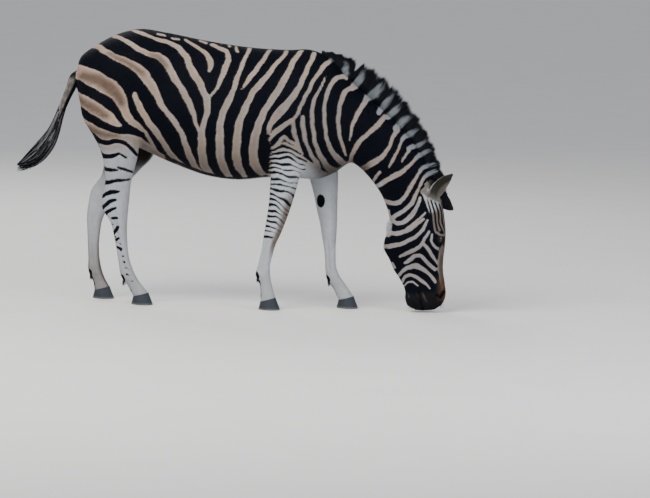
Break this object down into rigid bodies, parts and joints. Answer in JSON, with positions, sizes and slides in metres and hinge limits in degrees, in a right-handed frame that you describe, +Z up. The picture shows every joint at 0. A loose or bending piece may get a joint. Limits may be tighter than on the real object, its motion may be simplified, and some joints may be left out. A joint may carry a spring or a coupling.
{
  "type": "zebra",
  "caption": "Life-size still model of a plains zebra grazing: striped body, upright mane, tufted tail, head bent down to the ground between slow-walking forelegs.",
  "frame": {"origin": "on the floor below the middle of the animal's bounding box", "axes": "+X towards the head, +Y to the animal's left, +Z up"},
  "size_m": [2.2129, 0.5036, 1.376],
  "materials": {
    "coat": "short flat hair, near-black stripes on warm white",
    "legs": "short flat white hair with dark bars",
    "dark_hair": "coarse near-black hair",
    "hoof": "slate grey horn, finely ridged",
    "eye": "wet, very dark brown"
  },
  "bodies": {
    "root": {"trunk": "coat", "neck": "coat", "head": "coat", "ear_left": "coat", "ear_right": "coat", "fore_left_upper": "coat", "fore_right_upper": "coat", "hind_left_upper": "coat", "hind_right_upper": "coat", "tail_dock": "coat", "fore_left_cannon": "legs", "fore_right_cannon": "legs", "hind_left_cannon": "legs", "hind_right_cannon": "legs", "mane": "dark_hair", "tail_tuft": "dark_hair", "fore_left_hoof": "hoof", "fore_right_hoof": "hoof", "hind_left_hoof": "hoof", "hind_right_hoof": "hoof", "eye_left": "eye", "eye_right": "eye"}
  },
  "joints": []
}
